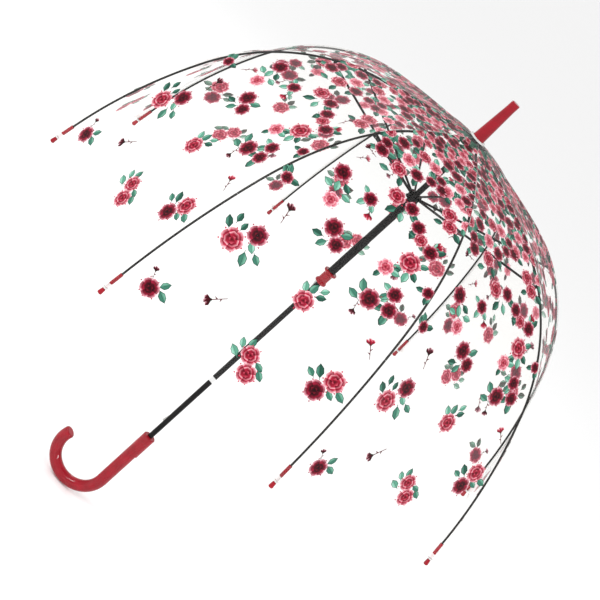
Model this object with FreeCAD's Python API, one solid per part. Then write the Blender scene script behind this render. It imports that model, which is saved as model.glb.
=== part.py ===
import FreeCAD, Part
import math
import os

# A dome umbrella, standing open on its shaft. The shaft is the Z axis, the ferrule points up, and the
# origin is the middle of the handle's straight grip. Ribs are laid out in their own plane as (r, z).
V = FreeCAD.Vector
ORIGIN = V(0, 0, 0)
X_AXIS = V(1, 0, 0)
Y_AXIS = V(0, 1, 0)
Z_AXIS = V(0, 0, 1)

# Driving dimensions, in millimetres and degrees.
RIB_COUNT = 8
RIB_STEP = 360.0 / RIB_COUNT
FIRST_RIB_AZIMUTH = RIB_STEP / 2
GAP = 0.3

SHAFT_R = 4.25
SHAFT_WALL = 0.8
SHAFT_BOTTOM_Z = -10.0
SHAFT_TOP_Z = 772.0

COLLAR_R = 10.4
COLLAR_Z = (12.0, 53.0)
COLLAR_CHAMFER = 1.2
GRIP_R = 9.7
CROOK_R = 44.5
CROOK_CENTRE_Z = -56.0
CROOK_SWEEP = 200.0
CROOK_END_ROUND = 3.0

PIVOT_R = 8.4
CROWN_PIVOT_Z = 719.0
RUNNER_PIVOT_Z = 604.0
CROWN_R = 10.6
CROWN_Z = (712.5, 721.4)
NOTCH_Z = (596.0, 608.5)
NOTCH_FLANGE_Z = (596.0, 598.0)
NOTCH_BODY_R = 9.8
SLOT_WIDTH = 2.1
SLOT_FLOOR_R = 6.1
WIRE_R = 0.5

WASHER_R = 13.0
WASHER_Z = (723.0, 725.4)
FERRULE_Z = (725.4, 784.0, 796.0)
FERRULE_R = (9.6, 6.9)
FERRULE_CHAMFER = 0.9

RUNNER_BORE_R = 4.55
GRIP_RING_Z = (415.0, 439.0)
SLEEVE_STEP_Z = 509.0
SLEEVE_TOP_Z = 562.0
SLEEVE_R = 6.3
SLEEVE_TOP_R = 5.9
NECK_R = 5.5
FLUTE_R = 0.55
FLUTE_COUNT = 12
RIM_LOW_R = 9.4
RIM_HIGH_R = 10.9
WAIST_R = 7.5
RIM_HEIGHT = 3.0

CATCH_WIDTH = 2.0
CATCH_REACH_R = 6.6
CATCH_LENGTH = 18.0
UPPER_CATCH_TOP_Z = GRIP_RING_Z[0] - GAP
LOWER_CATCH_LOW_Z = 87.0

# The rib in its plane: it starts at the crown pivot, bends through three arcs and ends straight.
RIB_START_SLOPE = 8.0
RIB_ARCS = ((150.0, 6.0), (250.0, 49.0), (200.0, 16.0))
RIB_STRAIGHT_END = 42.0
UPPER_ROD_R = 1.7
LOWER_ROD_R = 1.5
ROD_START = 16.0
BLADE_HEIGHT = 3.0
BLADE_WIDTH = 1.4
EYE_R = 1.9
EYE_HOLE_R = 0.7

# The stretcher and the rib have equal lengths from their joint to their inner pivots.
STRETCHER_LENGTH = 218.0
STRETCHER_WIDTH = 2.0
STRETCHER_HEIGHT = 2.4
JOINT_PIN_R = 0.75
JOINT_EYE_R = 2.2
CHEEK_WIDTH = 0.9
CHEEK_INNER = BLADE_WIDTH / 2 + GAP
FLEX_AFTER_JOINT = 6.0
SECOND_FLEX_AT = 430.0
FLEX_GAP = 0.2

# How steeply each part of a rib lies below level when the umbrella is closed.
CLOSED_SLOPE = 87.5
MIDDLE_CLOSED_SLOPE = 90.0
LOWER_CLOSED_SLOPE = 90.5

TIP_LENGTH = 38.0
TIP_SLEEVE_R = 2.5
TIP_NECK_R = 2.0
TIP_CAP_R = 3.4
TIP_SLEEVE_LENGTH = 24.0
TIP_CAP_LENGTH = 9.0
ROD_IN_TIP = 28.0

CANOPY_OFFSET = 3.1
CANOPY_THICKNESS = 0.4
CANOPY_END_AT = 630.0
SCALLOP_RISE = 20.0

# Worked out from the driving dimensions.
RIB_LENGTH = sum(length for length, turn in RIB_ARCS) + RIB_STRAIGHT_END
OPEN_SLOPE = math.degrees(math.asin((CROWN_PIVOT_Z - RUNNER_PIVOT_Z) / (2 * STRETCHER_LENGTH)))
JOINT_R = PIVOT_R + STRETCHER_LENGTH * math.cos(math.radians(OPEN_SLOPE))
JOINT_Z = CROWN_PIVOT_Z - STRETCHER_LENGTH * math.sin(math.radians(OPEN_SLOPE))


def write(node, shape):
    """Writes one node's STEP file."""
    shape.exportStep("parts/" + node + ".step")


def on_rib(s, outward=0.0):
    """The point (r, z) at length s along the rib, moved outward square to it, and the slope there."""
    r, z, slope = PIVOT_R, CROWN_PIVOT_Z, RIB_START_SLOPE
    for length, turn in RIB_ARCS:
        run = min(s, length)
        bend = turn * run / length
        chord = run * math.sin(math.radians(bend / 2)) / math.radians(bend / 2) if bend else run
        r += chord * math.cos(math.radians(slope + bend / 2))
        z -= chord * math.sin(math.radians(slope + bend / 2))
        slope += bend
        s -= run
    r += s * math.cos(math.radians(slope)) + outward * math.sin(math.radians(slope))
    z += -s * math.sin(math.radians(slope)) + outward * math.cos(math.radians(slope))
    return r, z, slope


def chord_slope(start, stop):
    """How steeply the straight line between two places on the rib lies below level."""
    start_r, start_z, slope = on_rib(start)
    stop_r, stop_z, slope = on_rib(stop)
    return math.degrees(math.atan2(start_z - stop_z, stop_r - start_r))


def in_plane(r, z):
    """A point of the rib's plane, which is XZ until the rib is turned to its azimuth."""
    return V(r, 0, z)


def rib_stations(start, end):
    """The lengths from start to end at which the rib's curvature changes."""
    edges = [0.0]
    for length, turn in RIB_ARCS:
        edges.append(edges[-1] + length)
    return [start] + [e for e in edges if start < e < end] + [end]


def rib_edges(start, end, outward=0.0):
    """Arcs and lines along the rib between two lengths, in order."""
    edges = []
    stations = rib_stations(start, end)
    for a, b in zip(stations, stations[1:]):
        first = in_plane(*on_rib(a, outward)[:2])
        middle = in_plane(*on_rib((a + b) / 2, outward)[:2])
        last = in_plane(*on_rib(b, outward)[:2])
        if a >= sum(length for length, turn in RIB_ARCS):
            edges.append(Part.makeLine(first, last))
        else:
            edges.append(Part.Arc(first, middle, last).toShape())
    return edges


def rod(start, end, radius):
    """A round rod along the rib between two lengths."""
    r, z, slope = on_rib(start)
    along = V(math.cos(math.radians(slope)), 0, -math.sin(math.radians(slope)))
    section = Part.Wire(Part.makeCircle(radius, in_plane(r, z), along))
    return Part.Wire(rib_edges(start, end)).makePipeShell([section], True, False)


def plate(points, width):
    """A flat plate of the rib's plane, centred on it, with the outline given as (r, z) points."""
    corners = [V(r, -width / 2, z) for r, z in points]
    face = Part.Face(Part.makePolygon(corners + corners[:1]))
    return face.extrude(V(0, width, 0))


def disc(r, z, radius, width):
    """A disc of the rib's plane, centred on it."""
    return Part.makeCylinder(radius, width, V(r, -width / 2, z), Y_AXIS)


def strip(start, end, height, width):
    """A flat plate along the line from start to end, both (r, z)."""
    dr, dz = end[0] - start[0], end[1] - start[1]
    size = math.hypot(dr, dz)
    side = (-dz / size * height / 2, dr / size * height / 2)
    corners = [
        (start[0] + side[0], start[1] + side[1]),
        (end[0] + side[0], end[1] + side[1]),
        (end[0] - side[0], end[1] - side[1]),
        (start[0] - side[0], start[1] - side[1]),
    ]
    return plate(corners, width)


def turned(shape, index):
    """A copy of a shape of the rib's plane, at the azimuth of one rib."""
    placed = shape.copy()
    placed.rotate(ORIGIN, Z_AXIS, FIRST_RIB_AZIMUTH + index * RIB_STEP)
    return placed


def tube(outer, inner, low, high):
    """A tube round the Z axis."""
    wall = Part.makeCylinder(outer, high - low, V(0, 0, low))
    return wall.cut(Part.makeCylinder(inner, high - low, V(0, 0, low)))


def turned_profile(points):
    """A solid of revolution round the Z axis from closed (r, z) points."""
    corners = [V(r, 0, z) for r, z in points]
    return Part.Face(Part.makePolygon(corners + corners[:1])).revolve(ORIGIN, Z_AXIS, 360)


# Shaft, handle and ferrule.
def catch_slot(low, high):
    """The opening in the shaft's wall for one catch."""
    width = CATCH_WIDTH + 2 * GAP
    return Part.makeBox(SHAFT_R, width, high - low + 2 * GAP, V(-SHAFT_R - 1, -width / 2, low - GAP))


def shaft_tube():
    body = tube(SHAFT_R, SHAFT_R - SHAFT_WALL, SHAFT_BOTTOM_Z, SHAFT_TOP_Z)
    body = body.cut(catch_slot(UPPER_CATCH_TOP_Z - CATCH_LENGTH, UPPER_CATCH_TOP_Z))
    return body.cut(catch_slot(LOWER_CATCH_LOW_Z, LOWER_CATCH_LOW_Z + CATCH_LENGTH))


def catch(flat_z, tail_z):
    """A sprung catch on the -X side: a leg inside the shaft and a wedge through its wall. The wedge is
    flat at flat_z, where it holds the runner, and slopes back into the shaft at tail_z."""
    leg_out = -(SHAFT_R - SHAFT_WALL) + 0.1
    leg_in = leg_out + 0.8
    down = math.copysign(1, flat_z - tail_z)
    outline = [
        (leg_in, flat_z),
        (-CATCH_REACH_R, flat_z),
        (-CATCH_REACH_R, flat_z - 2.5 * down),
        (leg_out, tail_z),
        (leg_in, tail_z),
    ]
    return plate(outline, CATCH_WIDTH)


def handle():
    """A crook: a collar that grips the shaft, a straight grip flush with it on the -X side, and a hook
    that turns towards -X."""
    shift = GRIP_R - COLLAR_R
    collar = Part.makeCylinder(COLLAR_R, COLLAR_Z[1] - COLLAR_Z[0], V(0, 0, COLLAR_Z[0]))
    collar = collar.makeChamfer(COLLAR_CHAMFER, collar.Edges)
    top = COLLAR_Z[0] + 2 * COLLAR_CHAMFER
    straight = Part.makeCylinder(GRIP_R, top - CROOK_CENTRE_Z, V(shift, 0, CROOK_CENTRE_Z))
    section = Part.Face(Part.Wire(Part.makeCircle(GRIP_R, V(shift, 0, CROOK_CENTRE_Z), Z_AXIS)))
    hook = section.revolve(V(shift - CROOK_R, 0, CROOK_CENTRE_Z), Y_AXIS, CROOK_SWEEP)
    ends = [e for e in hook.Edges if e.Curve.TypeId == "Part::GeomCircle" and e.isClosed()]
    far = [e for e in ends if e.CenterOfMass.x < shift - CROOK_R]
    hook = hook.makeFillet(CROOK_END_ROUND, far)
    body = collar.fuse(straight).fuse(hook).removeSplitter()
    socket = Part.makeCylinder(SHAFT_R, COLLAR_Z[1] - SHAFT_BOTTOM_Z, V(0, 0, SHAFT_BOTTOM_Z))
    return body.cut(socket)


def ferrule():
    base, shoulder, tip = FERRULE_Z
    wide, narrow = FERRULE_R
    outline = [
        (0, SHAFT_TOP_Z),
        (0, tip),
        (narrow - FERRULE_CHAMFER, tip),
        (narrow, tip - FERRULE_CHAMFER),
        (narrow, shoulder),
        (wide, base),
        (SHAFT_R, base),
        (SHAFT_R, SHAFT_TOP_Z),
    ]
    return turned_profile(outline)


# Crown, runner and the rings of pivots.
def pivot_slots(low, high):
    """Eight radial slots through a crown, one for each rib or stretcher."""
    slot = Part.makeBox(CROWN_R, SLOT_WIDTH, high - low, V(SLOT_FLOOR_R, -SLOT_WIDTH / 2, low))
    return [turned(slot, i) for i in range(RIB_COUNT)]


def wire_ring(z):
    """The wire ring on which the eyes turn."""
    return Part.makeTorus(PIVOT_R, WIRE_R, V(0, 0, z), Z_AXIS)


def crown():
    body = tube(CROWN_R, SHAFT_R, *CROWN_Z)
    for slot in pivot_slots(*CROWN_Z):
        body = body.cut(slot)
    return body.cut(wire_ring(CROWN_PIVOT_Z))


def runner_notch():
    low, high = NOTCH_Z
    body = tube(NOTCH_BODY_R, RUNNER_BORE_R, low, high)
    body = body.fuse(tube(CROWN_R, RUNNER_BORE_R, *NOTCH_FLANGE_Z))
    for slot in pivot_slots(low, high):
        body = body.cut(slot)
    return body


def flutes(radius, low, high):
    """Shallow grooves along a round sleeve."""
    groove = Part.makeCylinder(FLUTE_R, high - low, V(radius + FLUTE_R / 3, 0, low))
    found = []
    for k in range(FLUTE_COUNT):
        copy = groove.copy()
        copy.rotate(ORIGIN, Z_AXIS, k * 360.0 / FLUTE_COUNT)
        found.append(copy)
    return found


def runner_sleeve():
    """A long fluted sleeve with a step, and a thin neck up to the notch."""
    low, ring_top = GRIP_RING_Z
    body = turned_profile([
        (RUNNER_BORE_R, low),
        (SLEEVE_TOP_R, low),
        (SLEEVE_TOP_R, ring_top),
        (SLEEVE_R, ring_top),
        (SLEEVE_R, SLEEVE_STEP_Z),
        (SLEEVE_TOP_R, SLEEVE_STEP_Z + 1),
        (SLEEVE_TOP_R, SLEEVE_TOP_Z),
        (NECK_R, SLEEVE_TOP_Z + 1),
        (NECK_R, NOTCH_Z[0]),
        (RUNNER_BORE_R, NOTCH_Z[0]),
    ])
    return body.cut(flutes(SLEEVE_R, ring_top + 2, SLEEVE_STEP_Z - 2))


def runner_grip():
    """A spool-shaped ring for the fingers, waisted between two rims."""
    low, high = GRIP_RING_Z
    waist_low = V(WAIST_R, 0, low + 2 * RIM_HEIGHT)
    waist_high = V(WAIST_R, 0, high - 2 * RIM_HEIGHT)
    outline = [
        V(SLEEVE_TOP_R, 0, low),
        V(RIM_LOW_R - 0.8, 0, low),
        V(RIM_LOW_R, 0, low + 0.8),
        V(RIM_LOW_R, 0, low + RIM_HEIGHT),
        waist_low,
        waist_high,
        V(RIM_HIGH_R, 0, high - RIM_HEIGHT),
        V(RIM_HIGH_R, 0, high - 0.8),
        V(RIM_HIGH_R - 0.8, 0, high),
        V(SLEEVE_TOP_R, 0, high),
    ]
    return turned_profile([(p.x, p.z) for p in outline])


# Ribs, stretchers and tips.
def joint_station():
    """The length along the rib that is nearest to the stretcher's joint."""
    low, high = 0.0, RIB_LENGTH
    while high - low > 1e-6:
        middle = (low + high) / 2
        r, z, slope = on_rib(middle)
        ahead = (JOINT_R - r) * math.cos(math.radians(slope)) - (JOINT_Z - z) * math.sin(math.radians(slope))
        low, high = (middle, high) if ahead > 0 else (low, middle)
    return low


def rib_upper(joint_at, flex_at):
    """A blade in the crown's slot, a rod, and two cheeks under it that carry the stretcher's pin."""
    pivot = (PIVOT_R, CROWN_PIVOT_Z)
    blade = strip(pivot, on_rib(ROD_START + 2)[:2], BLADE_HEIGHT, BLADE_WIDTH)
    body = blade.fuse(disc(*pivot, EYE_R, BLADE_WIDTH)).fuse(rod(ROD_START, flex_at - FLEX_GAP, UPPER_ROD_R))
    hub = on_rib(joint_at)[:2]
    joint = (JOINT_R, JOINT_Z)
    for side in (-1, 1):
        cheek = strip(hub, joint, 2 * JOINT_EYE_R, CHEEK_WIDTH).fuse(disc(*joint, JOINT_EYE_R, CHEEK_WIDTH))
        cheek.translate(V(0, side * (CHEEK_INNER + CHEEK_WIDTH / 2), 0))
        body = body.fuse(cheek)
    body = body.cut(disc(*pivot, EYE_HOLE_R, 2 * BLADE_WIDTH))
    return body.cut(disc(*joint, JOINT_PIN_R, 4 * CHEEK_INNER)).removeSplitter()


def joint_pin():
    """The pin through both cheeks and the stretcher's outer eye."""
    return disc(JOINT_R, JOINT_Z, JOINT_PIN_R, 2 * (CHEEK_INNER + CHEEK_WIDTH) + 0.4)


def stretcher():
    """A straight bar with a flat eye at each end."""
    outer = V(JOINT_R, 0, JOINT_Z)
    inner = V(PIVOT_R, 0, RUNNER_PIVOT_Z)
    along = (outer - inner).normalize()
    bar_start = inner + along * 12.0
    bar_end = outer - along * 9.0
    eye_plate = strip((inner.x, inner.z), (outer.x, outer.z), 2 * EYE_R * 0.8, BLADE_WIDTH)
    bar = strip((bar_start.x, bar_start.z), (bar_end.x, bar_end.z), STRETCHER_HEIGHT, STRETCHER_WIDTH)
    body = eye_plate.fuse(bar)
    body = body.fuse(disc(inner.x, inner.z, EYE_R, BLADE_WIDTH))
    body = body.fuse(disc(outer.x, outer.z, EYE_R, BLADE_WIDTH))
    body = body.cut(disc(inner.x, inner.z, EYE_HOLE_R, 2 * BLADE_WIDTH))
    return body.cut(disc(outer.x, outer.z, JOINT_PIN_R + 0.1, 2 * BLADE_WIDTH)).removeSplitter()


def tip():
    """A moulded cap on the rib's end: a sleeve, a neck for the canopy's eyelet, and a flared end."""
    r, z, slope = on_rib(RIB_LENGTH - TIP_LENGTH)
    neck_end = TIP_LENGTH - TIP_CAP_LENGTH
    outline = [
        (LOWER_ROD_R, 0),
        (TIP_SLEEVE_R, 0),
        (TIP_SLEEVE_R, TIP_SLEEVE_LENGTH),
        (TIP_NECK_R, TIP_SLEEVE_LENGTH + 0.5),
        (TIP_NECK_R, neck_end),
        (TIP_CAP_R * 0.8, neck_end + 0.5),
        (TIP_CAP_R, TIP_LENGTH - 1.2),
        (TIP_CAP_R - 0.9, TIP_LENGTH),
        (0, TIP_LENGTH),
        (0, ROD_IN_TIP),
        (LOWER_ROD_R, ROD_IN_TIP),
    ]
    body = turned_profile(outline)
    body.rotate(ORIGIN, Y_AXIS, 90 + slope)
    body.translate(V(r, 0, z))
    return body


# Canopy.
def canopy_section():
    """The film's outline in one rib's plane, a thin band along the rib."""
    inner = rib_edges(0.0, CANOPY_END_AT, CANOPY_OFFSET)
    outer = rib_edges(0.0, CANOPY_END_AT, CANOPY_OFFSET + CANOPY_THICKNESS)
    top = Part.makeLine(inner[0].Vertexes[0].Point, outer[0].Vertexes[0].Point)
    bottom = Part.makeLine(inner[-1].Vertexes[-1].Point, outer[-1].Vertexes[-1].Point)
    return Part.Wire(Part.__sortEdges__(inner + [bottom] + outer + [top]))


def canopy_gore(index):
    """One gore: straight across from rib to rib, with a hem that rises in an arc between the tips."""
    section = canopy_section()
    gore = Part.makeLoft([turned(section, index), turned(section, index + 1)], True, True)
    tip_r, tip_z, slope = on_rib(CANOPY_END_AT, CANOPY_OFFSET)
    half = tip_r * math.sin(math.radians(RIB_STEP / 2))
    arc_r = (half ** 2 + SCALLOP_RISE ** 2) / (2 * SCALLOP_RISE)
    hem = Part.makeCylinder(arc_r, 2 * tip_r, V(0, 0, tip_z + SCALLOP_RISE - arc_r), X_AXIS)
    return gore.cut(turned(hem, index + 0.5))


def canopy():
    return Part.makeCompound([canopy_gore(i) for i in range(RIB_COUNT)])


os.makedirs("parts", exist_ok=True)

write("shaft_tube", shaft_tube())
write("handle", handle())
write("ferrule", ferrule())
write("crown", crown())
write("crown_wire", wire_ring(CROWN_PIVOT_Z))
write("canopy_washer", tube(WASHER_R, SHAFT_R, *WASHER_Z))
write("canopy", canopy())
write("upper_catch", catch(UPPER_CATCH_TOP_Z, UPPER_CATCH_TOP_Z - CATCH_LENGTH))
write("lower_catch", catch(LOWER_CATCH_LOW_Z, LOWER_CATCH_LOW_Z + CATCH_LENGTH))
write("runner_sleeve", runner_sleeve())
write("runner_grip", runner_grip())
write("runner_notch", runner_notch())

joint_at = joint_station()
flex_at = joint_at + FLEX_AFTER_JOINT
plane_parts = {
    "rib_upper": rib_upper(joint_at, flex_at),
    "rib_pin": joint_pin(),
    "stretcher": stretcher(),
    "rib_middle": rod(flex_at + FLEX_GAP, SECOND_FLEX_AT - FLEX_GAP, LOWER_ROD_R),
    "rib_lower": rod(SECOND_FLEX_AT + FLEX_GAP, RIB_LENGTH - TIP_LENGTH + ROD_IN_TIP, LOWER_ROD_R),
    "rib_tip": tip(),
}
for name, shape in plane_parts.items():
    for i in range(RIB_COUNT):
        write(name + "_" + str(i + 1), turned(shape, i))

# How far the runner comes down to close the umbrella, and what each joint of a rib then turns through.
travel = 2 * STRETCHER_LENGTH * math.sin(math.radians(CLOSED_SLOPE)) - (CROWN_PIVOT_Z - RUNNER_PIVOT_Z)
upper_turn = CLOSED_SLOPE - OPEN_SLOPE
middle_turn = MIDDLE_CLOSED_SLOPE - chord_slope(flex_at, SECOND_FLEX_AT) - upper_turn
lower_turn = LOWER_CLOSED_SLOPE - chord_slope(SECOND_FLEX_AT, RIB_LENGTH) - upper_turn - middle_turn
print("runner travel", round(travel, 3), "rib hinge", round(upper_turn, 3))
print("flex", round(middle_turn, 3), "end flex", round(lower_turn, 3))
print("stretcher hinge", round(-2 * upper_turn, 3))
print("joint", round(JOINT_R, 3), round(JOINT_Z, 3), "at", round(joint_at, 3))
print("rib end", on_rib(RIB_LENGTH))
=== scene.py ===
import math
import random
import bpy
from mathutils import Matrix, Vector


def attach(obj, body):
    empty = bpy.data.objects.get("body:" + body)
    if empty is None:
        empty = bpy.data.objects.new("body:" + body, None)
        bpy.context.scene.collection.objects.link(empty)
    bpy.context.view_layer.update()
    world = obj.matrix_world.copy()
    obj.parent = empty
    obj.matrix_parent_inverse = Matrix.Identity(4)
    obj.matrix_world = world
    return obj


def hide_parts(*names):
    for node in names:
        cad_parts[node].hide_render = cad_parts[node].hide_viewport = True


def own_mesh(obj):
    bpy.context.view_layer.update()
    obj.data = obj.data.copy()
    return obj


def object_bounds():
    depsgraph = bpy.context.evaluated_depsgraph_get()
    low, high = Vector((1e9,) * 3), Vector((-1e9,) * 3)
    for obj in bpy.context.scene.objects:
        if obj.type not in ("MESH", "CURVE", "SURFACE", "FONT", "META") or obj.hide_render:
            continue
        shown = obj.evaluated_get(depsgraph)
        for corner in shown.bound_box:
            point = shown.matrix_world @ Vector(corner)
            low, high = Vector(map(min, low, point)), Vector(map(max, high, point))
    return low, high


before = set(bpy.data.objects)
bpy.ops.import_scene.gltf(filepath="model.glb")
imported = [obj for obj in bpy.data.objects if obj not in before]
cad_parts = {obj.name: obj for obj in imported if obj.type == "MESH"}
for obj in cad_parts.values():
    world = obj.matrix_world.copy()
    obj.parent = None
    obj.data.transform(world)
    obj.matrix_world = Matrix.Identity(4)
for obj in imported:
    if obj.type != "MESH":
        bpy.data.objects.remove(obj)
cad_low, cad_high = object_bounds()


# The shaft. A steel tube drawn to 8.5 mm and dipped in black enamel, which pools to a slightly
# uneven gloss along its length. Two bent strips of bare spring steel come through its wall:
# the upper one holds the umbrella open and the lower one holds it shut.
def finish(name, light, deep, grain, gloss, relief, stretch=(1, 1, 1), **shader):
    """A finish mottled between two colours, its gloss between two roughnesses, with a fine relief."""
    material = bpy.data.materials.new(name)
    material.use_nodes = True
    tree = material.node_tree
    surface = tree.nodes["Principled BSDF"]
    place = tree.nodes.new("ShaderNodeTexCoord")
    turn = tree.nodes.new("ShaderNodeMapping")
    turn.inputs["Scale"].default_value = stretch
    mottle = tree.nodes.new("ShaderNodeTexNoise")
    mottle.inputs["Scale"].default_value = grain
    mottle.inputs["Detail"].default_value = 4.0
    colours = tree.nodes.new("ShaderNodeValToRGB")
    colours.color_ramp.elements[0].position = 0.35
    colours.color_ramp.elements[0].color = (*deep, 1)
    colours.color_ramp.elements[1].position = 0.65
    colours.color_ramp.elements[1].color = (*light, 1)
    sheen = tree.nodes.new("ShaderNodeMapRange")
    sheen.inputs["To Min"].default_value = gloss[0]
    sheen.inputs["To Max"].default_value = gloss[1]
    peel = tree.nodes.new("ShaderNodeTexNoise")
    peel.inputs["Scale"].default_value = grain * 9
    bump = tree.nodes.new("ShaderNodeBump")
    bump.inputs["Strength"].default_value = relief
    bump.inputs["Distance"].default_value = 0.0002
    tree.links.new(place.outputs["Object"], turn.inputs["Vector"])
    tree.links.new(turn.outputs["Vector"], mottle.inputs["Vector"])
    tree.links.new(turn.outputs["Vector"], peel.inputs["Vector"])
    tree.links.new(mottle.outputs["Fac"], colours.inputs["Fac"])
    tree.links.new(colours.outputs["Color"], surface.inputs["Base Color"])
    tree.links.new(mottle.outputs["Fac"], sheen.inputs["Value"])
    tree.links.new(sheen.outputs["Result"], surface.inputs["Roughness"])
    tree.links.new(peel.outputs["Fac"], bump.inputs["Height"])
    tree.links.new(bump.outputs["Normal"], surface.inputs["Normal"])
    for socket, value in shader.items():
        surface.inputs[socket.replace("_", " ")].default_value = value
    return material


def dress(material, *nodes):
    """Gives these nodes the material, in every slot that they have."""
    for node in nodes:
        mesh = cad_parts[node].data
        mesh.materials.clear()
        mesh.materials.append(material)


black_enamel = finish("black_enamel", (0.008, 0.0075, 0.0075), (0.003, 0.003, 0.003), 120, (0.24, 0.36), 0.15,
                      stretch=(1, 1, 0.15), Specular_IOR_Level=0.16)
spring_steel = finish("spring_steel", (0.62, 0.62, 0.60), (0.34, 0.34, 0.33), 260, (0.22, 0.4), 0.3,
                      stretch=(1, 1, 0.1), Metallic=1.0)
dress(black_enamel, "shaft_tube")
dress(spring_steel, "upper_catch", "lower_catch")


# The handle. A plastic crook and the collar that grips the shaft, moulded in one red piece and
# sprayed with clear lacquer, so that it shows soft, slightly rippled highlights.
red_lacquer = finish("red_lacquer", (0.30, 0.002, 0.012), (0.235, 0.002, 0.009), 60, (0.05, 0.09), 0.06,
                     Specular_IOR_Level=0.36)
dress(red_lacquer, "handle")


# The top end. A red plastic ferrule is pressed onto the shaft over a clear washer, which holds the
# film down on the black crown. The ribs hang from a wire ring in the crown's notches.
clear_nylon = finish("clear_nylon", (0.80, 0.80, 0.78), (0.66, 0.67, 0.66), 300, (0.22, 0.34), 0.2,
                     Alpha=0.75, Specular_IOR_Level=0.6)
black_plastic = finish("black_plastic", (0.009, 0.0085, 0.0085), (0.004, 0.004, 0.004), 400,
                       (0.34, 0.48), 0.4, Specular_IOR_Level=0.16)
bright_wire = finish("bright_wire", (0.70, 0.70, 0.68), (0.48, 0.48, 0.47), 500, (0.2, 0.34), 0.3,
                     Metallic=1.0)
dress(red_lacquer, "ferrule")
dress(clear_nylon, "canopy_washer")
dress(black_plastic, "crown")
dress(bright_wire, "crown_wire")


# The runner. A black fluted plastic sleeve slides on the shaft. Its flared red end is the thumb
# grip, and its notched head holds the eight stretchers on a ring of wire.
def select_none():
    """Nothing is selected and no object is active, before a new piece is added."""
    bpy.ops.object.select_all(action="DESELECT")
    bpy.context.view_layer.objects.active = None


def settle(name, material):
    """Names the active piece, gives it the material and puts its place into its mesh."""
    piece = bpy.context.view_layer.objects.active
    bpy.ops.object.transform_apply(location=True, rotation=True, scale=True)
    piece.name = name
    piece.data.name = name
    piece.data.materials.clear()
    piece.data.materials.append(material)
    return piece


dress(black_plastic, "runner_sleeve", "runner_notch")
dress(red_lacquer, "runner_grip")
runner_pivot_z = 0.604
pivot_ring_r = 0.0084
select_none()
bpy.ops.mesh.primitive_torus_add(major_radius=pivot_ring_r, minor_radius=0.0005, major_segments=64,
                                 minor_segments=10, location=(0, 0, runner_pivot_z))
bpy.ops.object.mode_set(mode="EDIT")
bpy.ops.mesh.select_all(action="SELECT")
bpy.ops.transform.resize(value=(1, 1, 0.92))
bpy.ops.object.mode_set(mode="OBJECT")
bpy.ops.object.shade_smooth()
runner_wire = settle("runner_wire", bright_wire)
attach(runner_wire, "runner")


# The ribs and stretchers. Each of the eight ribs starts at the crown as a black steel wire with a
# flat blade, where its stretcher is pinned, and goes on as a black glass fibre rod, whose fibres
# run along it under a satin skin. The stretchers are pressed steel channels.
black_steel = finish("black_steel", (0.007, 0.007, 0.007), (0.003, 0.003, 0.003), 60, (0.2, 0.3), 0.05,
                     Specular_IOR_Level=0.16)
glass_fibre = finish("glass_fibre", (0.011, 0.010, 0.009), (0.004, 0.004, 0.004), 240, (0.28, 0.4), 0.12,
                     stretch=(1, 1, 0.2), Specular_IOR_Level=0.14)
rib_numbers = range(1, 9)
for k in rib_numbers:
    dress(black_steel, f"rib_upper_{k}", f"stretcher_{k}")
    dress(glass_fibre, f"rib_middle_{k}", f"rib_lower_{k}")
    dress(bright_wire, f"rib_pin_{k}")


# The rib tips. A red plastic sleeve and flared cap slide onto each rib's end, and a clear ring
# between them, welded to the film's corner, keeps the film stretched down the rib.
film_lift = 0.0033
rib_pivot_z = 0.719
rib_start_slope = 8.0
rib_arcs = ((0.150, 6.0), (0.250, 49.0), (0.200, 16.0))
first_rib_at = 22.5
rib_step = 45.0


def along_rib(length, lift=0.0):
    """How far out and high the rib is at this length from the crown, lifted square to it, and its slope."""
    out, up, slope = pivot_ring_r, rib_pivot_z, math.radians(rib_start_slope)
    for arc, turn in rib_arcs:
        run = max(0.0, min(length, arc))
        bend = math.radians(turn) * run / arc
        chord = run * math.sin(bend / 2) / (bend / 2) if bend else run
        out += chord * math.cos(slope + bend / 2)
        up -= chord * math.sin(slope + bend / 2)
        slope += bend
        length -= run
    out += length * math.cos(slope) + lift * math.sin(slope)
    up += -length * math.sin(slope) + lift * math.cos(slope)
    return out, up, slope


def around(out, up, turn):
    """The point this far out and this high, at this many degrees round the shaft."""
    return Vector((out * math.cos(math.radians(turn)), out * math.sin(math.radians(turn)), up))


ring_at = 0.6305
ring_lug_from = 0.0022
ring_out, ring_up, ring_slope = along_rib(ring_at)
select_none()
bpy.ops.mesh.primitive_torus_add(major_radius=0.0028, minor_radius=0.0009, major_segments=28,
                                 minor_segments=10)
bpy.ops.object.mode_set(mode="EDIT")
bpy.ops.mesh.select_all(action="SELECT")
bpy.ops.transform.resize(value=(1, 1, 1.5))
bpy.ops.object.mode_set(mode="OBJECT")
ring_mesh = bpy.context.view_layer.objects.active.data
for corner in ring_mesh.vertices:
    corner.select = corner.co.x > ring_lug_from
for edge in ring_mesh.edges:
    edge.select = all(ring_mesh.vertices[v].select for v in edge.vertices)
for face in ring_mesh.polygons:
    face.select = all(ring_mesh.vertices[v].select for v in face.vertices)
bpy.ops.object.mode_set(mode="EDIT")
bpy.ops.transform.translate(value=(0.0007, 0, 0.0006))
bpy.ops.object.mode_set(mode="OBJECT")
bpy.ops.object.shade_smooth()
ring_pattern = settle("ring_pattern", clear_nylon)
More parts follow.
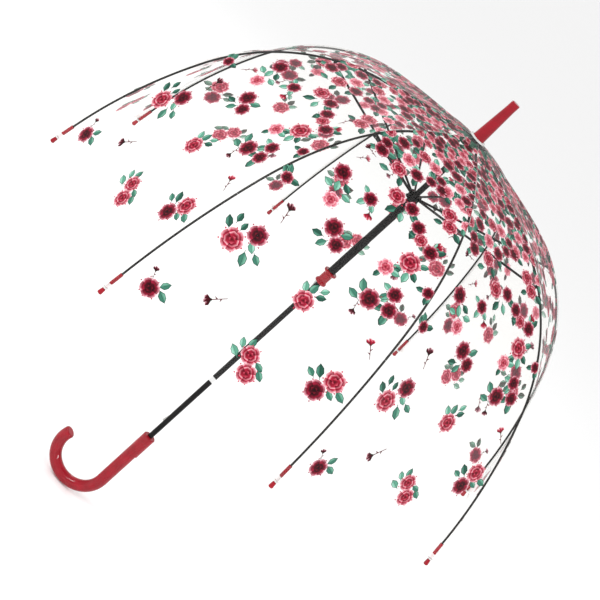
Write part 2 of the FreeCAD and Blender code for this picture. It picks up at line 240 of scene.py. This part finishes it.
for k in rib_numbers:
    dress(red_lacquer, f"rib_tip_{k}")
    tip_ring = bpy.data.objects.new(f"tip_ring_{k}", ring_pattern.data.copy())
    bpy.context.scene.collection.objects.link(tip_ring)
    azimuth = first_rib_at + rib_step * (k - 1)
    lean = Matrix.Rotation(math.radians(90) - ring_slope, 4, "Y")
    turn = Matrix.Rotation(math.radians(azimuth), 4, "Z")
    tip_ring.data.transform(Matrix.Translation(around(ring_out, ring_up, azimuth)) @ turn @ lean)
    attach(tip_ring, f"rib_lower_{k}")
bpy.data.objects.remove(ring_pattern)


# The film. Eight gores of thin clear PVC, welded edge to edge over the ribs and pulled tight, so
# that each dips a little between its ribs and its hem rises in a shallow arc. Each gore is made in
# halves, which go with their own rib when the umbrella shuts.
film_end = 0.630
hem_rise = 0.0204
film_dip = 0.003
half_step = math.radians(rib_step / 2)
parts = {"upper": (0.004, 0.226), "middle": (0.226, 0.430), "lower": (0.430, film_end)}
half_gores = []
for k in rib_numbers:
    half_gores.append((k, 1, "left", k, (0.0, 0.5)))
    half_gores.append((k, -1, "right", k - 1, (0.5, 1.0)))


def on_gore(gore, length, across, lift=0.0):
    """The film's point in a gore, this far down from the crown, across from 0 at one rib to 1 at the next."""
    out, up, slope = along_rib(length, film_lift)
    start = around(out, up, first_rib_at + rib_step * (gore - 1))
    stop = around(out, up, first_rib_at + rib_step * gore)
    lean = math.atan2(math.sin(slope), math.cos(slope) * math.cos(half_step))
    outward = around(math.sin(lean), math.cos(lean), first_rib_at + rib_step * (gore - 0.5))
    dip = film_dip * math.sin(math.pi * min(1, length / 0.64)) * 4 * across * (1 - across)
    return start.lerp(stop, across) + outward * (lift - dip)


def hem_at(across):
    """The length along the gore at which the film ends."""
    return film_end - hem_rise * 4 * across * (1 - across)


def film_grid(gore, across, start, stop, rows, columns, lift):
    """Points and faces of a sheet between two lines across the gore, whose lengths start and stop give."""
    points = []
    for row in range(rows + 1):
        for column in range(columns + 1):
            place = across[0] + (across[1] - across[0]) * column / columns
            length = start(place) + (stop(place) - start(place)) * row / rows
            points.append(on_gore(gore, length, place, lift))
    wide = columns + 1
    faces = [(i * wide + j, (i + 1) * wide + j, (i + 1) * wide + j + 1, i * wide + j + 1)
             for i in range(rows) for j in range(columns)]
    return points, faces


def sheet_piece(name, points, faces, material):
    """A new smooth piece with these points and faces, which already stand in their place."""
    mesh = bpy.data.meshes.new(name)
    mesh.from_pydata(points, [], faces)
    mesh.materials.append(material)
    mesh.polygons.foreach_set("use_smooth", [True] * len(mesh.polygons))
    piece = bpy.data.objects.new(name, mesh)
    bpy.context.scene.collection.objects.link(piece)
    return piece


def fold_with_rib(piece, k, part):
    """The piece goes with its part of rib k."""
    top, bottom = parts[part]
    out, up, slope = along_rib((top + bottom) / 2, film_lift)
    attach(piece, f"rib_{part}_{k}")
    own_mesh(piece)


clear_film = bpy.data.materials.new("clear_film")
clear_film.use_nodes = True
film_tree = clear_film.node_tree
film_gloss = film_tree.nodes["Principled BSDF"]
film_gloss.inputs["Base Color"].default_value = (0.96, 0.955, 0.93, 1)
film_place = film_tree.nodes.new("ShaderNodeTexCoord")
film_ripple = film_tree.nodes.new("ShaderNodeTexNoise")
film_ripple.inputs["Scale"].default_value = 22
film_ripple.inputs["Detail"].default_value = 1.0
film_haze = film_tree.nodes.new("ShaderNodeMapRange")
film_haze.inputs["To Min"].default_value = 0.05
film_haze.inputs["To Max"].default_value = 0.14
film_bump = film_tree.nodes.new("ShaderNodeBump")
film_bump.inputs["Strength"].default_value = 0.25
film_bump.inputs["Distance"].default_value = 0.002
film_clear = film_tree.nodes.new("ShaderNodeBsdfTransparent")
film_clear.inputs["Color"].default_value = (0.994, 0.994, 0.988, 1)
film_edge = film_tree.nodes.new("ShaderNodeFresnel")
film_edge.inputs["IOR"].default_value = 1.45
film_share = film_tree.nodes.new("ShaderNodeMapRange")
film_share.inputs["To Min"].default_value = 0.0
film_share.inputs["To Max"].default_value = 0.3
film_mix = film_tree.nodes.new("ShaderNodeMixShader")
film_tree.links.new(film_place.outputs["Object"], film_ripple.inputs["Vector"])
film_tree.links.new(film_ripple.outputs["Fac"], film_haze.inputs["Value"])
film_tree.links.new(film_haze.outputs["Result"], film_gloss.inputs["Roughness"])
film_tree.links.new(film_ripple.outputs["Fac"], film_bump.inputs["Height"])
film_tree.links.new(film_bump.outputs["Normal"], film_gloss.inputs["Normal"])
film_tree.links.new(film_edge.outputs["Fac"], film_share.inputs["Value"])
film_tree.links.new(film_share.outputs["Result"], film_mix.inputs["Fac"])
film_tree.links.new(film_clear.outputs["BSDF"], film_mix.inputs[1])
film_tree.links.new(film_gloss.outputs["BSDF"], film_mix.inputs[2])
film_tree.links.new(film_mix.outputs["Shader"], film_tree.nodes["Material Output"].inputs["Surface"])

film_rows = 26
film_columns = 12
film_pieces = {}
for k, side, hand, gore, across in half_gores:
    for part, (top, bottom) in parts.items():
        foot = hem_at if part == "lower" else (lambda place: bottom)
        points, faces = film_grid(gore, across, lambda place: top, foot, film_rows, film_columns, 0.0)
        film_pieces[k, side, part] = sheet_piece(f"film_{k}_{hand}_{part}", points, faces, clear_film)


# The hem. The film's lower edge is folded under and welded flat, which leaves a frosted white
# band about 7 mm wide. It is the only cloudy part of the canopy.
hem_width = 0.007
frosted_weld = finish("frosted_weld", (0.97, 0.97, 0.96), (0.92, 0.92, 0.92), 900, (0.35, 0.5), 0.25,
                      Alpha=0.6, Specular_IOR_Level=0.4)
hem_lift = 0.0002
hem_rows = 4
hem_columns = 24


def hem_top(across):
    """The length along the gore at which the welded band starts."""
    return hem_at(across) - hem_width


hems = {}
for k, side, hand, gore, across in half_gores:
    points, faces = film_grid(gore, across, hem_top, hem_at, hem_rows, hem_columns, hem_lift)
    hems[k, side] = sheet_piece(f"hem_{k}_{hand}", points, faces, frosted_weld)


# The print. Roses, buds and leaves in crimson, pink and green ink, the same on every gore: sprays
# set well apart near the hem and crowded together at the crown. The ink lies on the film's outer
# face, and from inside it shows paler, through its white underprint. The inside copy is also
# brightened by a tenth, which is painted light making up for the dimmer light under the dome.
ink_lift = 0.00012
underprint = (0.09, 0.045, 0.055)
pale_rose = (((0.90, 0.58, 0.63), (0.46, 0.018, 0.055), (0.13, 0.003, 0.012)),
             ((0.86, 0.42, 0.48), (0.38, 0.010, 0.035), (0.07, 0.002, 0.007)),
             ((0.62, 0.08, 0.13), (0.22, 0.006, 0.018), (0.03, 0.001, 0.004)))
dark_rose = (((0.86, 0.46, 0.53), (0.30, 0.010, 0.038), (0.06, 0.002, 0.007)),
             ((0.34, 0.012, 0.036), (0.07, 0.002, 0.008), (0.015, 0.001, 0.003)),
             ((0.20, 0.006, 0.018), (0.03, 0.001, 0.004), (0.008, 0.001, 0.002)))
soft_rose = (((0.92, 0.68, 0.72), (0.70, 0.22, 0.28), (0.38, 0.03, 0.06)),
             ((0.88, 0.52, 0.57), (0.52, 0.08, 0.12), (0.22, 0.012, 0.030)),
             ((0.66, 0.16, 0.21), (0.34, 0.03, 0.05), (0.10, 0.005, 0.012)))
leaf_greens = (((0.17, 0.40, 0.29), (0.04, 0.16, 0.11)), ((0.08, 0.25, 0.18), (0.015, 0.075, 0.05)),
               ((0.34, 0.62, 0.50), (0.10, 0.30, 0.21)))
stem_ink = (0.10, 0.02, 0.025)


def petal_ring(shapes, middle, turn, count, spread, reach, colours, height):
    """A ring of rounded petals round a middle, reaching from a root to a waist and a lip. Each petal goes
    from its bright curled lip on one side to the shade under its neighbour on the other."""
    bright, body, shade = colours
    root, waist, lip = reach
    outline = (0.94, 1.01, 1.04, 0.91)
    for petal in range(count):
        angle = turn + math.tau * petal / count
        for i in range(3):
            spots = []
            for step, bulge in ((i, outline[i]), (i + 1, outline[i + 1])):
                share = step / 3
                way = angle + spread * (2 * share - 1)
                rim = [tuple(low + (high - low) * share for low, high in zip(first, last))
                       for first, last in ((shade, body), (shade, body), (body, bright))]
                spots.append([((middle[0] + far * math.cos(way), middle[1] + far * math.sin(way)), tint)
                              for far, tint in zip((root, waist * bulge, lip * bulge), rim)])
            for band in (0, 1):
                corners = [spots[0][band], spots[0][band + 1], spots[1][band + 1], spots[1][band]]
                shapes.append(([place for place, tint in corners], height + 0.000003 * petal,
                               [tint for place, tint in corners]))


def rose(shapes, down, across, radius, tone, turn):
    """A full rose from above: rings of petals curled round a dark heart, and specks of ink round them."""
    middle = (down, across)
    for speck in range(7):
        angle = turn + speck * 0.94
        far = radius * (1.06 + 0.05 * (speck % 3))
        spot_down = down + far * math.cos(angle)
        spot_across = across + far * math.sin(angle)
        spot = [(spot_down + radius * 0.12 * math.cos(a), spot_across + radius * 0.12 * math.sin(a))
                for a in (angle, angle + 2.1, angle + 4.2)]
        shapes.append((spot, ink_lift, [tone[0][1]] * 3))
    petal_ring(shapes, middle, turn, 6, 0.55, (radius * 0.38, radius * 0.78, radius * 1.03), tone[0],
               ink_lift + 0.00003)
    petal_ring(shapes, middle, turn + 0.5, 3, 1.08, (radius * 0.22, radius * 0.50, radius * 0.70), tone[1],
               ink_lift + 0.00006)
    for petal, reach in ((0, 0.42), (1, 0.36), (2, 0.27)):
        way = turn + 2.2 * petal
        bends = ((0.05, -1.5), (reach * 0.9, -1.1), (reach, 0.0), (reach * 0.9, 1.1), (0.05, 1.5))
        curl = [(down + radius * far * math.cos(way + a), across + radius * far * math.sin(way + a))
                for far, a in bends]
        shapes.append((curl, ink_lift + 0.00009 + 0.000004 * petal,
                       [tone[2][2], tone[2][1], tone[2][0], tone[2][1], tone[2][2]]))


def pointing(down, across, size, angle):
    """Gives a function for points so far ahead and aside, for a shape of this size that points this way."""
    ahead = size * math.cos(angle)
    aside = size * math.sin(angle)
    return lambda far, wide: (down + far * ahead - wide * aside, across + far * aside + wide * ahead)


def leaf(shapes, down, across, size, angle, greens):
    """A pointed leaf with a dark edge, in two halves with a dark vein, on a short stalk."""
    light, deep = greens
    at = pointing(down, across, size, angle)
    ink_line = tuple(c * 0.35 for c in deep)
    for hand in (1, -1):
        edge = [at(-0.57, 0), at(-0.17, 0.32 * hand), at(0.22, 0.29 * hand), at(0.58, 0)]
        shapes.append((edge, ink_lift + 0.000003, [ink_line] * 4))
        pair = (light, deep) if hand > 0 else (deep, light)
        outline = [at(-0.5, 0), at(-0.15, 0.27 * hand), at(0.2, 0.24 * hand), at(0.5, 0)]
        shapes.append((outline if hand < 0 else outline[::-1], ink_lift + 0.00001,
                       [deep, pair[0], pair[0], deep]))
    shapes.append(([at(-0.7, 0.025), at(-0.7, -0.025), at(0.42, -0.012), at(0.42, 0.012)], ink_lift + 0.00002,
                   [tuple(c * 0.5 for c in deep)] * 4))


def bud(shapes, down, across, size, angle, tone):
    """A closed bud on a thorned stem: three petals in a green cup."""
    at = pointing(down, across, size, angle)
    stem = [at(-0.95, 0.02), at(-0.95, -0.02), at(0.05, -0.03), at(0.05, 0.03)]
    shapes.append((stem, ink_lift, [stem_ink] * 4))
    for far, wide in ((-0.6, 0.2), (-0.35, -0.22)):
        thorn = [at(far - 0.05, 0), at(far + 0.15, wide), at(far + 0.08, 0)]
        shapes.append((thorn, ink_lift, [stem_ink] * 3))
    for wide, far in ((0.2, 0.42), (-0.2, 0.42), (0.0, 0.5)):
        shapes.append(([at(0.0, 0), at(0.22, wide - 0.12), at(far, wide - 0.08), at(far, wide + 0.12),
                        at(0.22, wide + 0.12)], ink_lift + 0.00003 + 0.00001 * far,
                       [tone[1][2], tone[1][1], tone[0][0], tone[1][1], tone[1][2]]))
    for wide in (0.2, -0.2):
        shapes.append(([at(-0.08, 0), at(0.2, wide), at(0.06, wide * 0.3)], ink_lift + 0.00005,
                       [leaf_greens[1][1]] * 3))


placed_roses = (
    (0.589, -0.122, 0.0115, dark_rose), (0.473, -0.099, 0.0135, pale_rose),
    (0.446, -0.081, 0.0120, dark_rose),
    (0.457, 0.016, 0.0120, pale_rose), (0.551, 0.023, 0.0110, pale_rose), (0.570, 0.036, 0.0115, pale_rose),
    (0.495, 0.116, 0.0125, pale_rose), (0.520, 0.107, 0.0120, dark_rose), (0.367, -0.027, 0.0115, dark_rose),
    (0.380, -0.009, 0.0095, dark_rose), (0.394, 0.068, 0.0120, dark_rose), (0.322, 0.068, 0.0130, pale_rose),
    (0.307, -0.072, 0.0110, dark_rose), (0.268, -0.006, 0.0110, pale_rose), (0.264, 0.019, 0.0095, dark_rose),
    (0.234, -0.031, 0.0105, pale_rose), (0.191, -0.053, 0.0095, dark_rose), (0.221, 0.056, 0.0105, pale_rose),
    (0.237, 0.067, 0.0100, pale_rose), (0.345, -0.056, 0.0095, soft_rose))
placed_leaves = (
    (0.573, -0.110, 0.012, 2.6), (0.585, -0.103, 0.013, 1.2), (0.460, -0.118, 0.013, 3.9),
    (0.447, -0.112, 0.011, 3.3), (0.451, -0.100, 0.010, 3.1), (0.462, -0.075, 0.012, 0.9),
    (0.480, -0.072, 0.015, 0.5), (0.468, -0.060, 0.012, 1.1), (0.443, 0.005, 0.012, 3.8),
    (0.438, 0.014, 0.013, 3.1), (0.439, 0.028, 0.011, 2.2), (0.430, 0.026, 0.010, 2.5),
    (0.561, 0.005, 0.013, 4.3), (0.547, 0.005, 0.011, 3.8), (0.539, 0.014, 0.012, 3.2),
    (0.553, 0.041, 0.011, 1.4), (0.560, 0.049, 0.012, 1.0), (0.499, 0.094, 0.014, 3.9),
    (0.508, 0.087, 0.011, 4.4), (0.511, 0.124, 0.011, 1.2), (0.503, 0.134, 0.013, 1.3),
    (0.387, -0.036, 0.012, 5.0), (0.392, -0.024, 0.012, 5.8), (0.362, -0.008, 0.013, 2.3),
    (0.331, -0.075, 0.012, 4.6), (0.326, -0.064, 0.013, 0.4), (0.319, -0.053, 0.012, 1.1),
    (0.329, -0.045, 0.012, 1.6), (0.404, 0.049, 0.013, 4.6), (0.388, 0.050, 0.014, 3.9),
    (0.345, 0.062, 0.013, 5.6), (0.341, 0.077, 0.013, 0.2), (0.332, 0.084, 0.012, 1.0),
    (0.312, 0.084, 0.011, 2.2), (0.289, 0.001, 0.014, 5.8), (0.287, 0.017, 0.012, 0.5),
    (0.252, -0.045, 0.012, 5.0), (0.249, -0.018, 0.012, 0.5), (0.214, -0.044, 0.012, 0.2),
    (0.208, -0.035, 0.011, 1.0), (0.245, 0.052, 0.011, 5.2), (0.243, 0.084, 0.013, 1.0))
placed_buds = (
    (0.541, -0.060, 0.021, 5.6), (0.396, -0.079, 0.020, 3.4), (0.570, -0.132, 0.013, 3.6),
    (0.417, 0.064, 0.015, 0.3), (0.318, -0.012, 0.019, 0.4), (0.277, 0.076, 0.018, 2.6),
    (0.250, -0.074, 0.014, 4.6), (0.432, 0.112, 0.018, 3.9))

rose_scale = 1.08
leaf_scale = 1.15
sprinkle = random.Random(31)
print_shapes = []
for down, across, radius, tone in placed_roses:
    shapes = []
    rose(shapes, down, across, radius * rose_scale, tone, sprinkle.uniform(0, 6.3))
    print_shapes.append((down, across, shapes))
for down, across, size, angle in placed_leaves:
    shapes = []
    leaf(shapes, down, across, size * leaf_scale, angle, sprinkle.choice(leaf_greens))
    print_shapes.append((down, across, shapes))
for down, across, size, angle in placed_buds:
    shapes = []
    bud(shapes, down, across, size, angle, sprinkle.choice((pale_rose, dark_rose)))
    print_shapes.append((down, across, shapes))

crowd_start = 0.022
crowd_rows = 25
crowd_row_gap = 0.0150
crowd_spacing = 0.0195
crowd_full_to = 0.125
crowd_fade = 0.15
clear_of_rose = 0.021
for row in range(crowd_rows):
    down = crowd_start + crowd_row_gap * row
    half_width = along_rib(down, film_lift)[0] * math.sin(half_step)
    count = max(1, round(half_width * 2 / crowd_spacing))
    for place in range(count):
        across = half_width * (2 * (place + 0.5 * (row % 2) + 0.25 + sprinkle.uniform(-0.2, 0.2)) / count - 1)
        here = down + sprinkle.uniform(-0.005, 0.005)
        wanted = 1.0 if down < crowd_full_to else max(0.06, 0.9 - (down - crowd_full_to) / crowd_fade)
        near = min(math.hypot(here - r[0], across - r[1]) for r in placed_roses)
        if sprinkle.random() > wanted or near < clear_of_rose or abs(across) > half_width + 0.002:
            continue
        radius = sprinkle.uniform(0.0078, 0.0108) * (0.8 if down < 0.07 else 1.0)
        shapes = []
        for i in range(sprinkle.choice((2, 2, 3, 4))):
            angle = sprinkle.uniform(0, 6.3)
            leaf(shapes, here + radius * 1.35 * math.cos(angle), across + radius * 1.35 * math.sin(angle),
                 sprinkle.uniform(0.011, 0.016), angle, sprinkle.choice(leaf_greens))
        tone = sprinkle.choice((dark_rose, dark_rose, dark_rose, pale_rose, soft_rose))
        rose(shapes, here, across, radius, tone, sprinkle.uniform(0, 6.3))
        print_shapes.append((here, across, shapes))

printed_ink = bpy.data.materials.new("printed_ink")
printed_ink.use_nodes = True
ink_tree = printed_ink.node_tree
ink_surface = ink_tree.nodes["Principled BSDF"]
ink_surface.inputs["Specular IOR Level"].default_value = 0.1
ink_colour = ink_tree.nodes.new("ShaderNodeAttribute")
ink_colour.attribute_name = "ink"
ink_place = ink_tree.nodes.new("ShaderNodeTexCoord")
ink_grain = ink_tree.nodes.new("ShaderNodeTexNoise")
ink_grain.inputs["Scale"].default_value = 900
ink_strength = ink_tree.nodes.new("ShaderNodeMapRange")
ink_strength.inputs["To Min"].default_value = 0.75
ink_strength.inputs["To Max"].default_value = 1.2
ink_mix = ink_tree.nodes.new("ShaderNodeVectorMath")
ink_mix.operation = "MULTIPLY"
ink_gloss = ink_tree.nodes.new("ShaderNodeMapRange")
ink_gloss.inputs["To Min"].default_value = 0.3
ink_gloss.inputs["To Max"].default_value = 0.5
ink_tree.links.new(ink_place.outputs["Object"], ink_grain.inputs["Vector"])
ink_tree.links.new(ink_grain.outputs["Fac"], ink_strength.inputs["Value"])
ink_tree.links.new(ink_colour.outputs["Color"], ink_mix.inputs[0])
ink_tree.links.new(ink_strength.outputs["Result"], ink_mix.inputs[1])
ink_tree.links.new(ink_mix.outputs["Vector"], ink_surface.inputs["Base Color"])
ink_tree.links.new(ink_grain.outputs["Fac"], ink_gloss.inputs["Value"])
ink_tree.links.new(ink_gloss.outputs["Result"], ink_surface.inputs["Roughness"])


def print_on(gore, side, part):
    """The print on one half of a gore, for one part of its rib: points, faces and each corner's ink."""
    top, bottom = parts[part]
    points, faces, inks = [], [], []
    for down, across, shapes in print_shapes:
        if (across < 0) != (side > 0) or not top <= down < bottom:
            continue
        for outline, height, colours in shapes:
            ring = []
            for far, wide in outline:
                far = max(0.010, min(far, film_end - 0.010))
                half_width = along_rib(far, film_lift)[0] * math.sin(half_step)
                place = max(0.004, min(0.996, 0.5 + wide / (2 * half_width)))
                ring.append((min(far, hem_at(place) - 0.002), place))
            if len(set(ring)) < len(ring):
                continue
            first = len(points)
            points += [on_gore(gore, far, place, height) for far, place in ring]
            points += [on_gore(gore, far, place, -height) for far, place in ring]
            count = len(ring)
            up = (points[first + 1] - points[first]).cross(points[first + 2] - points[first])
            outer = list(range(first, first + count))
            if up.dot(points[first] - points[first + count]) < 0:
                outer, colours = outer[::-1], colours[::-1]
            faces += [outer, [i + count for i in outer[::-1]]]
            inks += [(*c, 1) for c in colours]
            # The inside copy: the ink paled by the white underprint, and brightened by a tenth as painted
            # light against the dimmer light under the dome.
            inks += [(*(min(0.95, 1.1 * a + b) for a, b in zip(c, underprint)), 1) for c in colours[::-1]]
    return points, faces, inks


prints = {}
for k, side, hand, gore, across in half_gores:
    for part in parts:
        points, faces, inks = print_on(gore, side, part)
        piece = sheet_piece(f"print_{k}_{hand}_{part}", points, faces, printed_ink)
        ink = piece.data.color_attributes.new("ink", "FLOAT_COLOR", "CORNER")
        ink.data.foreach_set("color", [channel for corner in inks for channel in corner])
        prints[k, side, part] = piece


# The welds. Where two gores meet over a rib, their edges overlap in a narrow strip that was
# pressed together hot, so it stands a little proud of the film beside it.
weld_width = 0.0022
weld_edge_lift = 0.00025
weld_top_lift = 0.00045
weld_rows = 40
for k in rib_numbers:
    for part, (top, bottom) in parts.items():
        points = []
        for row in range(weld_rows + 1):
            length = top + (bottom - top) * row / weld_rows
            half_width = along_rib(length, film_lift)[0] * math.sin(half_step)
            share = min(0.4, weld_width / (2 * half_width))
            points += [on_gore(k - 1, length, 1 - share, weld_edge_lift),
                       on_gore(k - 1, length, 1 - share / 3, weld_top_lift),
                       on_gore(k, length, share / 3, weld_top_lift),
                       on_gore(k, length, share, weld_edge_lift)]
        faces = [(4 * i + j, 4 * i + 4 + j, 4 * i + 5 + j, 4 * i + 1 + j)
                 for i in range(weld_rows) for j in range(3)]
        weld = sheet_piece(f"weld_{k}_{part}", points, faces, clear_film)
        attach(weld, f"rib_{part}_{k}")

for (k, side, part), piece in film_pieces.items():
    top, bottom = parts[part]
    extras = [prints[k, side, part]] + ([hems[k, side]] if part == "lower" else [])
    for made in [piece] + extras:
        fold_with_rib(made, k, part)
    half_width = along_rib(bottom, film_lift)[0] * math.sin(half_step)
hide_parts("canopy")


# The set. A plain white floor, a pale surround and three long soft lamps, which give the red
# lacquer its bright streaks. None of it is part of the umbrella.
select_none()
bpy.ops.mesh.primitive_plane_add(size=60, location=(0, 0, cad_low.z - 0.0005))
floor = bpy.context.view_layer.objects.active
floor.name = "floor"
white_paper = bpy.data.materials.new("white_paper")
white_paper.use_nodes = True
white_paper.node_tree.nodes["Principled BSDF"].inputs["Base Color"].default_value = (0.985, 0.985, 0.985, 1)
white_paper.node_tree.nodes["Principled BSDF"].inputs["Roughness"].default_value = 0.9
floor.data.materials.append(white_paper)
bpy.context.scene.view_settings.view_transform = "Standard"
surround = bpy.data.worlds.new("surround")
bpy.context.scene.world = surround
surround.use_nodes = True
surround.node_tree.nodes["Background"].inputs["Color"].default_value = (1, 1, 1, 1)
surround.node_tree.nodes["Background"].inputs["Strength"].default_value = 0.92
for name, place, size, power in (("key", (-1.4, -1.9, 1.9), 2.2, 44), ("side", (1.9, -0.9, 0.9), 1.2, 14),
                                 ("back", (-1.2, 2.0, 1.8), 0.6, 8)):
    lamp = bpy.data.lights.new(name, "AREA")
    lamp.shape = "RECTANGLE"
    lamp.size = size
    lamp.size_y = 0.1
    lamp.energy = power
    holder = bpy.data.objects.new(name, lamp)
    holder.location = place
    holder.rotation_euler = (Vector((0, 0, 0.4)) - Vector(place)).to_track_quat("-Z", "Y").to_euler()
    bpy.context.scene.collection.objects.link(holder)

camera_place = Vector((0.083, -2.226, 1.0935))
camera_aim = Vector((-0.0003, 0.0, 0.375))
lens = bpy.data.cameras.new("camera")
lens.lens = 96.8
lens.sensor_width = 36
camera = bpy.data.objects.new("camera", lens)
camera.location = camera_place
level = (camera_aim - camera_place).to_track_quat("-Z", "Y").to_matrix().to_4x4()
camera.rotation_euler = (level @ Matrix.Rotation(math.radians(47.77), 4, "Z")).to_euler()
bpy.context.scene.collection.objects.link(camera)
bpy.context.scene.camera = camera
